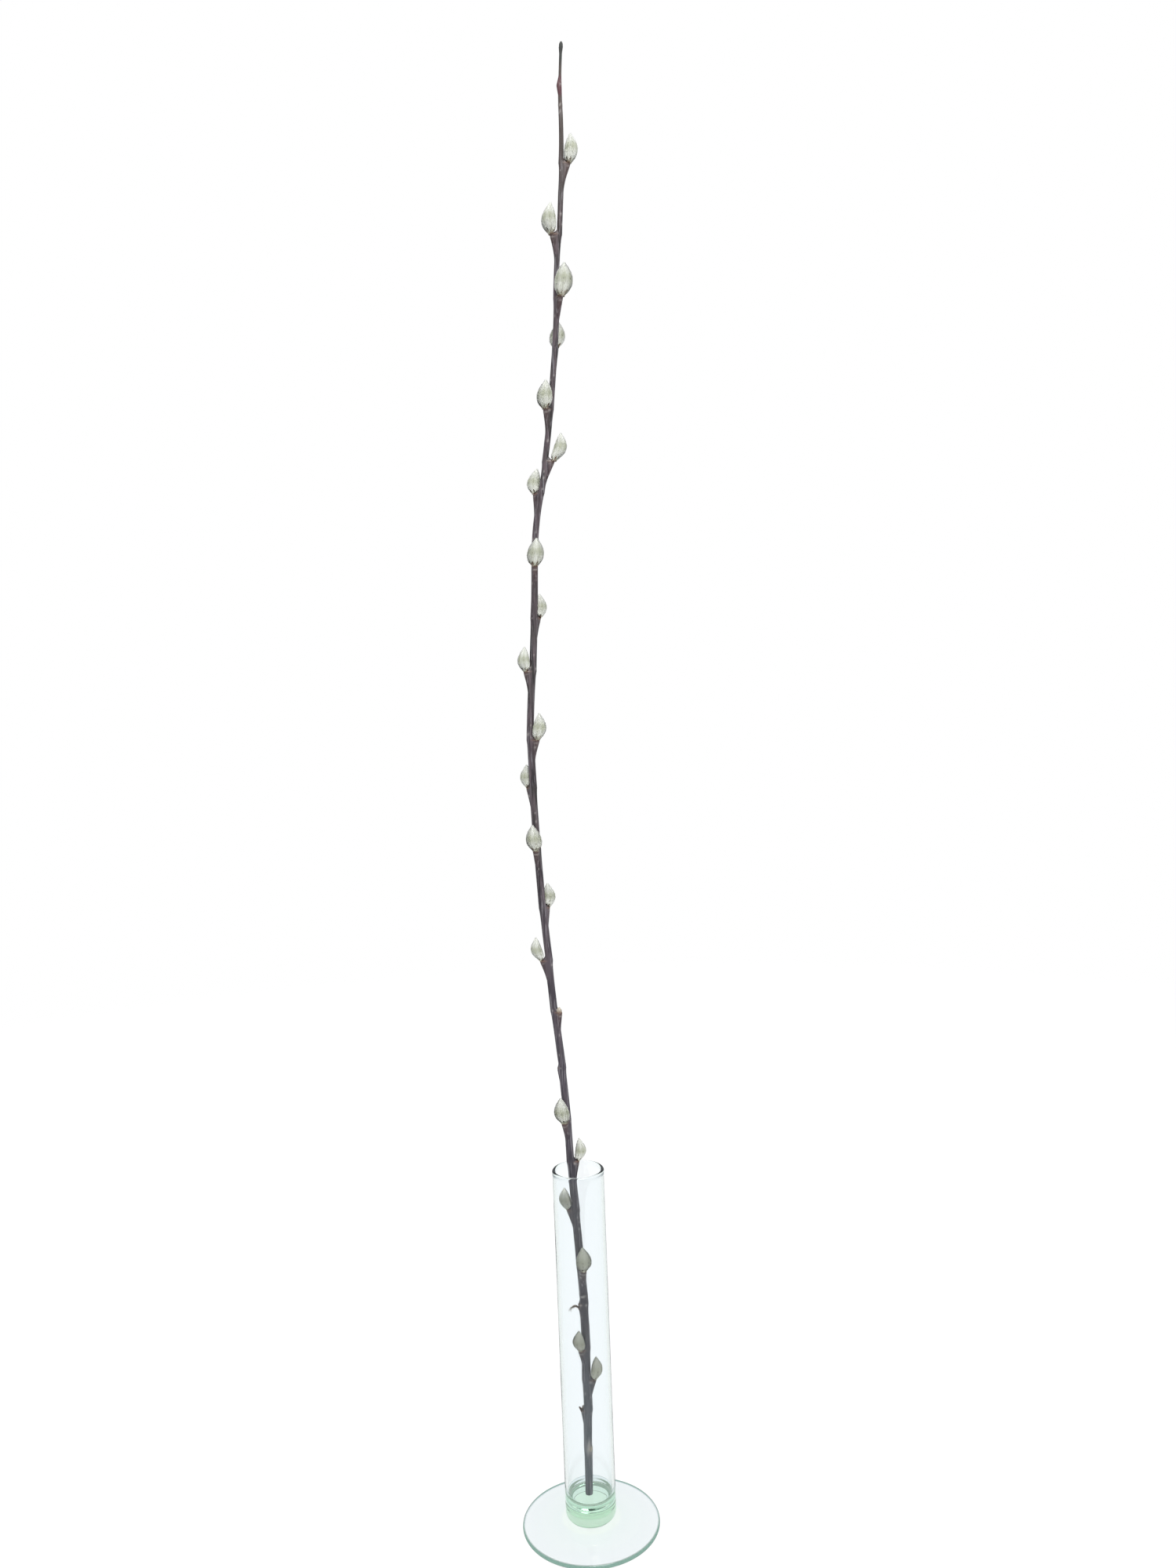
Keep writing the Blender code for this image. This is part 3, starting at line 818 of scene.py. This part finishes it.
def wisp(number, root, drop, length, curl, width, hairs=90):
    """Fine pale hairs on the outer half of a bent scale: each falls, drifts outwards and bends once."""
    draw = np.random.default_rng(number)
    _, out, across = seat_frame(number)
    share = draw.uniform(0.4, 1.0, hairs)
    start, _ = bent_line(number, root, drop, length, curl, share)
    start[:, :2] += across * draw.uniform(-0.4, 0.4, hairs)[:, None] * width / 2
    fall = draw.uniform(0.8, 3.4, hairs) * share
    drift, swing = draw.uniform(0.0, 1.7, hairs), draw.normal(0, 0.5, hairs)
    tip = start + upright(out * drift[:, None] + across * swing[:, None], -fall)
    middle_way = start + (tip - start) * 0.5 + upright(out * 0.35 * drift[:, None], 0.25 * fall)
    return spikes(start, middle_way, tip, np.array([*out, 0.0]), 0.05, 0.035)


for number, *shape in SCALES:
    points, faces, age = bent_scale(number, *shape)
    new_piece(f"bud_scale_{number + 1:02d}", points, faces, DRY, "willow_bark", age=age)
points, faces = wisp(*SCALES[1])
new_piece("wisp_22", points, faces, DRY, "willow_bark", age=np.full(points.size // 3, WISP_AGE))
print("bent scales on seats", [number + 1 for number, *_ in SCALES])

# %% Stubs on bare seats
STUB_RINGS, STUB_SIDES = 26, 28
STUB_AGES = {15: (0.42, 0.04), 24: (0.6, 0.25)}


def stub(number, radius, rise):
    """A knob: its radius falls as a high power of the height, with grooves low down and a dished top."""
    middle, out, across = seat_frame(number)
    seat = SEATS[number][0]
    reach = max(LOBES[number][1], steps(seat, STEM_THICKNESS) / 2 + radius * 0.4)
    share = np.concatenate([np.linspace(-0.5, 1, STUB_RINGS - 4), np.ones(4)])[:, None]
    inward = np.concatenate([np.ones(STUB_RINGS - 4), [0.8, 0.55, 0.3, 0.1]])[:, None]
    turns = round_turns(STUB_SIDES)[None]
    body = radius * np.sqrt(np.maximum(0.2, 1 - np.maximum(share, 0) ** 2.6)) * inward
    grooves = 1 + 0.05 * np.sin(share * 26) * (share < 0.7) + 0.05 * np.cos(5 * turns + share * 3)
    wide = body * grooves
    level = middle + out * (reach + wide * np.cos(turns))[..., None]
    level = level + across * (wide * np.sin(turns))[..., None]
    height = seat + rise * share - 0.25 * (1 - inward) + 0.08 * np.sin(4 * turns) * (share > 0.5)
    low, top = STUB_AGES[number]
    age = low + (top - low) * np.clip(share * 1.6, 0, 1) + 0 * turns
    return upright(level, height), age


for number, radius, rise in STUBS:
    points, age = stub(number, radius, rise)
    faces = tube_faces(STUB_RINGS, STUB_SIDES)
    new_piece(f"stub_{number + 1:02d}", points, faces, DRY, "willow_bark", age=age)
print("stubs on seats", [number + 1 for number, *_ in STUBS])

# %% [markdown]
# ## Fur
# A catkin is a spike of tiny flowers under silk. The hairs are fine and silver, so many that the form
# below only shows as olive-grey shade between them. Hair curves would be the usual way, but they don't
# leave Blender as a model. So each hair is a closed three-sided spike, with one bend, of seven points.


# %% Fur finish
SKIN_PATCHES, SKIN_DARK, SKIN_LIGHT = 420.0, (0.54, 0.55, 0.42), (0.66, 0.67, 0.55)
SILVER, SHADED, UNSHADED = (0.92, 0.92, 0.87), (0.58, 0.60, 0.48), (1.0, 1.0, 1.0)
# Painted light: the fur lighter and yellower inside the tube, standing in for light through the glass.
TUBE_PAINTED_LIGHT = (0.15, 0.19, 0.5, 0.0, (1.0, 0.95, 0.74))


def fur_finish():
    """Olive-grey skin, silver hair tips, a painted shade band, painted light in the tube (lighter,
    yellower), soft sheen.
    """
    finish, tree, shader = new_finish("catkin_fur", (0.34, 0.34, 0.30))
    place = place_in_piece(tree)
    along, tone = named_value(tree, "along"), named_value(tree, "tone")
    skin = mix_colours(tree, blotches(tree, place, SKIN_PATCHES), SKIN_DARK, SKIN_LIGHT)
    colour = mix_colours(tree, ranged(tree, along, 0.0, 0.7), skin, SILVER)
    # The tone value darkens the colour: random tone of the hairs, plus a painted shade band.
    colour = mix_colours(tree, 1.0, colour, mix_colours(tree, tone, SHADED, UNSHADED), "MULTIPLY")
    height = add_node(tree, "ShaderNodeSeparateXYZ", {0: place}).outputs[2]
    # Painted light: lighter and yellower in the tube.
    colour = height_tint(tree, colour, height, *TUBE_PAINTED_LIGHT)
    feed(tree, shader, {
        "Base Color": colour, "Roughness": ranged(tree, along, 0.0, 1.0, 0.9, 0.55),
        "Sheen Weight": 0.35, "Sheen Roughness": 0.35,
    })
    return finish


FUR = fur_finish()

# %% [markdown]
# ## A catkin's form
# The egg of a catkin is an outline along its length, wider across than deep, with a diamond pattern
# of tufts. One function gives the point at any angle, any share of the length and any swell. The
# skin uses a swell a little under 1, and a hair climbs from the skin to a swell just over 1, so
# every hair follows the form by itself.

# %% Catkin tables
GAP = 0.3
CATKIN_WIDTH, CATKIN_DEPTH = 0.60, 0.47
CATKIN_OUTLINE = (
    (0.0, 0.40), (0.07, 0.66), (0.16, 0.85), (0.28, 0.98), (0.38, 1.0),
    (0.5, 0.96), (0.65, 0.80), (0.8, 0.53), (0.9, 0.29), (0.96, 0.13), (1.0, 0.0),
)
TUFTS_ROUND, TUFT_ROWS, LAST_ROW, ROW_POWER = 7, 12, 0.975, 0.95
TUFT_RELIEF, TUFT_LIFT = 0.06, 3.0
FOOT_OUT, TIP_BACK = 0.4, 0.3
SPREADS = {1: 0.9, 2: 0.9, 5: 1.5, 6: 1.0, 13: 0.5, 14: 0.7, 18: 0.8}
LEAN_LIMIT, LEAN_SEED = 0.06, 7


def catkin_rule(number, lean):
    """The few numbers that place one catkin: its foot, size, middle line and directions."""
    seat, length = SEATS[number]
    _, reach, _ = LOBES[number]
    _, out, across = seat_frame(number)
    deepest = CATKIN_DEPTH * length / 2
    belly = steps(seat, STEM_THICKNESS) / 2 + GAP + deepest
    spread = SPREADS.get(number, 0)
    axis = ((0, reach + FOOT_OUT + spread / 3), (0.35, belly + spread), (1, belly + spread - TIP_BACK))
    return dict(foot=seat + SEAT_DROP + GAP, length=length, deepest=deepest, wide=CATKIN_WIDTH * length / 2,
                axis=axis, lean=lean, out=out, across=across)


def row_of(share):
    """Which row of tufts a share of the length lies on."""
    return TUFT_ROWS * (np.clip(share, 0, LAST_ROW) / LAST_ROW) ** (1 / ROW_POWER)


def clear_of_bark(level, height, gap):
    """Level places moved straight out from the stem's middle to at least the bark's radius plus the gap."""
    middle = stem_centre(height)
    away = level - middle
    azimuth = np.arctan2(away[..., 0], -away[..., 1])
    least = gap + np.maximum(bark_radius(height, azimuth), bark_radius(height - 0.5, azimuth))
    far = np.maximum(np.linalg.norm(away, axis=-1), 1e-6)
    return middle + away * np.maximum(1.0, least / far)[..., None]


def catkin_point(rule, turn, share, swell, gap=GAP, blunt=0.0):
    """The point at an angle and a share of the length: the egg's oval there, times swell, times its tuft.

    A tuft is a cosine round the egg times a cosine up its rows. It swells the oval and lifts the point.
    blunt is the least girth, so that hairs end in a soft brush at the tip and not in one needle.
    """
    row = row_of(share)
    tuft = TUFT_RELIEF * np.cos(TUFTS_ROUND * turn) * np.cos(np.pi * row)
    tuft = tuft * np.clip(row, 0, 1) * np.clip(TUFT_ROWS - row, 0, 1)
    size = np.maximum(flow(share, CATKIN_OUTLINE), blunt) * swell * (1 + tuft)
    height = rule["foot"] + rule["length"] * share
    ahead = flow(share, rule["axis"]) + rule["deepest"] * size * np.cos(turn)
    aside = rule["lean"] * rule["length"] * share + rule["wide"] * size * np.sin(turn)
    level = stem_centre(height) + rule["out"] * ahead[..., None] + rule["across"] * aside[..., None]
    return upright(clear_of_bark(level, height, gap), height + tuft * TUFT_LIFT)


# %% Skin of a catkin
SKIN_ROWS, SKIN_SIDES, SKIN_SWELL = 40, 56, 0.93
SKIN_FOOT = -0.022


def catkin_skin(rule):
    """The egg itself, as rings from foot to tip, drawn in a little so that the fur fills it out."""
    share = LAST_ROW * np.linspace(0, 1, SKIN_ROWS)[:, None] ** ROW_POWER
    share[0] = SKIN_FOOT
    share, turn = np.broadcast_arrays(share, round_turns(SKIN_SIDES)[None])
    return catkin_point(rule, turn, share, SKIN_SWELL), tube_faces(SKIN_ROWS, SKIN_SIDES)


# %% Hairs of a catkin
HAIRS = 3100
GOLDEN = math.pi * (3 - math.sqrt(5))
HAIR_REACH = (0.17, 0.27)
HAIR_WIDE, HAIR_THICK = 0.055, 0.026
BLUNT = 0.11
# The shade band is painted shade: a darker band across the lower middle of each catkin.
HAIR_TONE, HAIR_TONE_DRAW, SHADE_BAND_SHARE, SHADE_BAND_SPREAD, SHADE_BAND_DEPTH = 0.80, 0.13, 0.36, 0.16, 0.75


def catkin_hairs(rule, draw):
    """Spikes from the skin up along the form. Roots follow the golden angle, as many as the girth asks for.

    Root, bend and tip are points of the form at growing shares and swells, drawn towards the tufts.
    """
    share_table = np.linspace(-0.03, 0.95, 200)
    filled = np.cumsum(np.maximum(flow(share_table, CATKIN_OUTLINE), 0.12))
    share = np.interp((np.arange(HAIRS) + 0.5) / HAIRS, filled / filled[-1], share_table)
    turn = np.arange(HAIRS) * GOLDEN + draw.uniform(-0.05, 0.05, HAIRS)
    grow = draw.uniform(*HAIR_REACH, HAIRS) * (1 - 0.35 * share)
    drift = -0.07 * np.sin(TUFTS_ROUND * turn) * np.cos(np.pi * row_of(share)) + draw.normal(0, 0.05, HAIRS)
    loose = 0.035 * draw.random(HAIRS) + 0.10 * (draw.random(HAIRS) > 0.95) * draw.random(HAIRS)
    tip_share = np.minimum(share + grow, 0.955 + 0.06 * draw.random(HAIRS))
    root = catkin_point(rule, turn, share, SKIN_SWELL - 0.03, GAP * 0.8)
    bend_share = share + (tip_share - share) * 0.45
    bend = catkin_point(rule, turn + drift * 0.4, bend_share, 1.0 + loose * 0.5, GAP * 0.6, BLUNT)
    tip = catkin_point(rule, turn + drift, tip_share, 1.03 + loose, GAP * 0.4, BLUNT)
    inner = catkin_point(rule, turn, share, 0.1, 0.0)
    points, faces = spikes(root, bend, tip, unit(root - inner), HAIR_WIDE, HAIR_THICK)
    tone = HAIR_TONE + HAIR_TONE_DRAW * draw.standard_normal(HAIRS) + 0.15 * np.cos(TUFTS_ROUND * turn)
    # Painted shade: the hairs darker on a band across the lower middle of the catkin.
    tone = np.clip(tone - SHADE_BAND_DEPTH * bell(share - SHADE_BAND_SHARE, SHADE_BAND_SPREAD), 0, 1)
    along = np.concatenate([np.full(HAIR_SIDES, 0.1), np.full(HAIR_SIDES, 0.6), [1.0]])
    facing = np.stack([root, bend, tip], 1) - inner[:, None]
    facing = unit(np.repeat(facing, (HAIR_SIDES, HAIR_SIDES, 1), axis=1))
    return points, faces, facing.reshape(-1, 3), np.tile(along, HAIRS), np.repeat(tone, len(along))


# %% Scales of a catkin
BRACT_ROWS, BRACT_STATIONS, BRACT_SIDES = (1, 3, 5), 4, 6
COLLAR, SCALE_START, USUAL_LENGTH = 8, -0.05, 12


def catkin_scales(rule, draw):
    """A dark bract at the middle of each tuft, mostly under fur, and a collar of tan scales at the foot.

    Each is a blade whose line climbs the form from one share to another, at swells that rise with it.
    A row of the two tables is a turn, a start, a reach, a swell, a width in millimetres and an age.
    """
    rows = np.repeat(list(BRACT_ROWS), TUFTS_ROUND)
    many = len(rows)
    bracts = (
        (np.tile(np.arange(TUFTS_ROUND), len(BRACT_ROWS)) * 2 + rows % 2) * np.pi / TUFTS_ROUND,
        LAST_ROW * (rows / TUFT_ROWS) ** ROW_POWER + SCALE_START,
        draw.uniform(0.085, 0.12, many), 0.92 + 0.10 * draw.random(many) * (rows < 3),
        draw.uniform(0.26, 0.42, many), draw.uniform(0.6, 1.0, many),
    )
    collar = (
        (np.arange(COLLAR) + 0.3) * 2 * np.pi / COLLAR + draw.uniform(-0.15, 0.15, COLLAR),
        np.full(COLLAR, SCALE_START), draw.uniform(0.08, 0.15, COLLAR), np.ones(COLLAR),
        draw.uniform(0.34, 0.50, COLLAR), draw.uniform(0.1, 0.65, COLLAR),
    )
    turn, start, reach, swell, width, age = (np.concatenate(pair) for pair in zip(bracts, collar))
    width = width * rule["length"] / USUAL_LENGTH
    climb = np.linspace(0, 1, BRACT_STATIONS + 1)[None]
    share = start[:, None] + reach[:, None] * climb
    around = np.broadcast_to(turn[:, None], share.shape)
    line = catkin_point(rule, around, share, swell[:, None] + 0.03 * climb, GAP * 0.5)
    beside = catkin_point(rule, around + 0.05, share, swell[:, None] + 0.03 * climb, GAP * 0.5)
    inner = catkin_point(rule, around, share, 0.2, 0.0)
    across = unit(beside - line)
    out = unit(line - inner)
    wide = width[:, None] * flow(climb, BLADE_OUTLINE)
    rings = blade_points(line[:, :-1], across[:, :-1], out[:, :-1], wide[:, :-1], 0.16, 0.2, BRACT_SIDES)
    points = np.concatenate([rings.reshape(len(turn), -1, 3), line[:, -1:]], 1)
    faces = many_faces(len(turn), BRACT_STATIONS, BRACT_SIDES, pointed=True)
    darker = np.repeat(climb[0, :-1], BRACT_SIDES).tolist() + [1.0]
    ages = np.clip(age[:, None] + 0.25 * (np.array(darker)[None] - 0.5), 0, 1)
    return points, faces, ages


# %% [markdown]
# ## All the catkins
# Twenty-one of the twenty-six seats still hold a catkin. The lean of each comes from one seeded draw,
# in the same order as in the solids, and the hairs from a draw of their own.

# %% Build the catkins
lean_draw = np.random.default_rng(LEAN_SEED)
count = 0
for number, (_, length) in enumerate(SEATS):
    if not length:
        continue
    count += 1
    rule = catkin_rule(number, lean_draw.uniform(-LEAN_LIMIT, LEAN_LIMIT))
    hair_draw = np.random.default_rng(100 + number)
    skin_points, skin_faces = catkin_skin(rule)
    hair_points, hair_faces, facing, along, tone = catkin_hairs(rule, hair_draw)
    bare = SKIN_ROWS * SKIN_SIDES
    points = np.concatenate([skin_points.reshape(-1, 3), hair_points.reshape(-1, 3)])
    faces = skin_faces + [face + bare for face in hair_faces]
    along = np.concatenate([np.zeros(bare), along])
    tone = np.concatenate([np.full(bare, 0.5), tone])
    facing = np.concatenate([np.zeros((bare, 3)), facing])
    new_piece(f"catkin_{count:02d}_fur", points, faces, FUR, "catkin_fur", (f"catkin_{count:02d}",), facing,
              along=along, tone=tone)
    points, faces, ages = catkin_scales(rule, hair_draw)
    new_piece(f"catkin_{count:02d}_scales", points, faces, DRY, "willow_bark", age=ages)

# %% [markdown]
# ## Floor, backdrop and light
# The photograph was taken on bright white, with soft light from the front and above. A floor disc that
# fades out at its rim meets a white sky without a line, so the object looks the same from every side.
# The floor glows by itself, so that glass casts no grey shadow on it, and it is dimmer in reflections,
# as a photographer's dark cards would make it, which gives the glass its edges.


# %% Floor
FLOOR_GLOW, FLOOR_MIRRORED, FLOOR_FADE = 0.93, 0.30, (0.8, 1.35)


def floor_finish():
    """White by its own glow, dimmer where it is seen mirrored, clear towards the rim of the disc."""
    finish, tree, shader = new_finish("white_floor", (0.10, 0.10, 0.10))
    light_path = add_node(tree, "ShaderNodeLightPath").outputs
    mirrored = maths(tree, "SUBTRACT", light_path["Is Glossy Ray"], light_path["Is Transmission Ray"])
    away = length_of(tree, place_in_piece(tree))
    feed(tree, shader, {
        "Roughness": 0.9, "Emission Color": (1.0, 1.0, 1.0),
        "Emission Strength": ranged(tree, mirrored, 0.0, 1.0, FLOOR_GLOW, FLOOR_MIRRORED),
        "Alpha": ranged(tree, away, *FLOOR_FADE, 1.0, 0.0),
    })
    return finish


def floor_disc(radius, sides):
    """A flat disc: one ring of points round a middle point."""
    turns = round_turns(sides)
    points = np.stack([radius * np.cos(turns), radius * np.sin(turns), 0 * turns], -1)
    mesh = bpy.data.meshes.new("floor")
    mesh.from_pydata(points.tolist(), [], [list(range(sides))])
    mesh.materials.append(floor_finish())
    return placed("floor", mesh)


floor_disc(1.4, 96)


# %% Sky and lamps
SKY_COLOUR = (0.90, 0.955, 1.0)


def sky(left, right, above, below, seen):
    """Light of its own strength from each side, above and below. The camera sees it as plain white."""
    world = bpy.data.worlds.new("studio")
    bpy.context.scene.world = world
    world.use_nodes = True
    tree = world.node_tree
    tree.nodes.clear()
    way = add_node(tree, "ShaderNodeTexCoord").outputs["Generated"]
    sideways, _, height = add_node(tree, "ShaderNodeSeparateXYZ", {0: way}).outputs
    level = ranged(tree, sideways, -0.9, 0.9, left, right)
    low_and_level = ranged(tree, height, -0.6, 0.0, below, level)
    strength = ranged(tree, height, 0.1, 0.9, low_and_level, above)
    light = add_node(tree, "ShaderNodeBackground", {"Color": SKY_COLOUR, "Strength": strength})
    white = add_node(tree, "ShaderNodeBackground", {"Color": (1.0, 1.0, 1.0), "Strength": seen})
    camera_sees = add_node(tree, "ShaderNodeLightPath").outputs["Is Camera Ray"]
    both = add_node(tree, "ShaderNodeMixShader", {0: camera_sees, 1: light.outputs[0], 2: white.outputs[0]})
    output = add_node(tree, "ShaderNodeOutputWorld")
    feed(tree, output, {"Surface": both.outputs[0]})


def lamp(name, at, target, size, power):
    """A square soft light at a place, turned to look at its target."""
    light = bpy.data.lights.new(name, "AREA")
    light.size, light.energy = size, power
    back = unit(np.array(at) - np.array(target))
    side = unit(np.cross([0.0, 1.0, 0.001], back))
    turned_axes = np.stack([side, np.cross(back, side), back], 1)
    turn = Matrix(turned_axes.tolist()).to_4x4()
    placed(name, light).matrix_world = Matrix.Translation(at) @ turn


sky(left=0.54, right=0.60, above=0.50, below=0.30, seen=1.0)
lamp("key", (0.3, -1.08, 1.5), (0.0, 0.0, 0.35), 0.9, 18.0)
lamp("overhead", (-0.1, 0.3, 1.8), (0.0, 0.0, 0.2), 1.2, 11.0)
bpy.context.scene.view_settings.view_transform = "Standard"
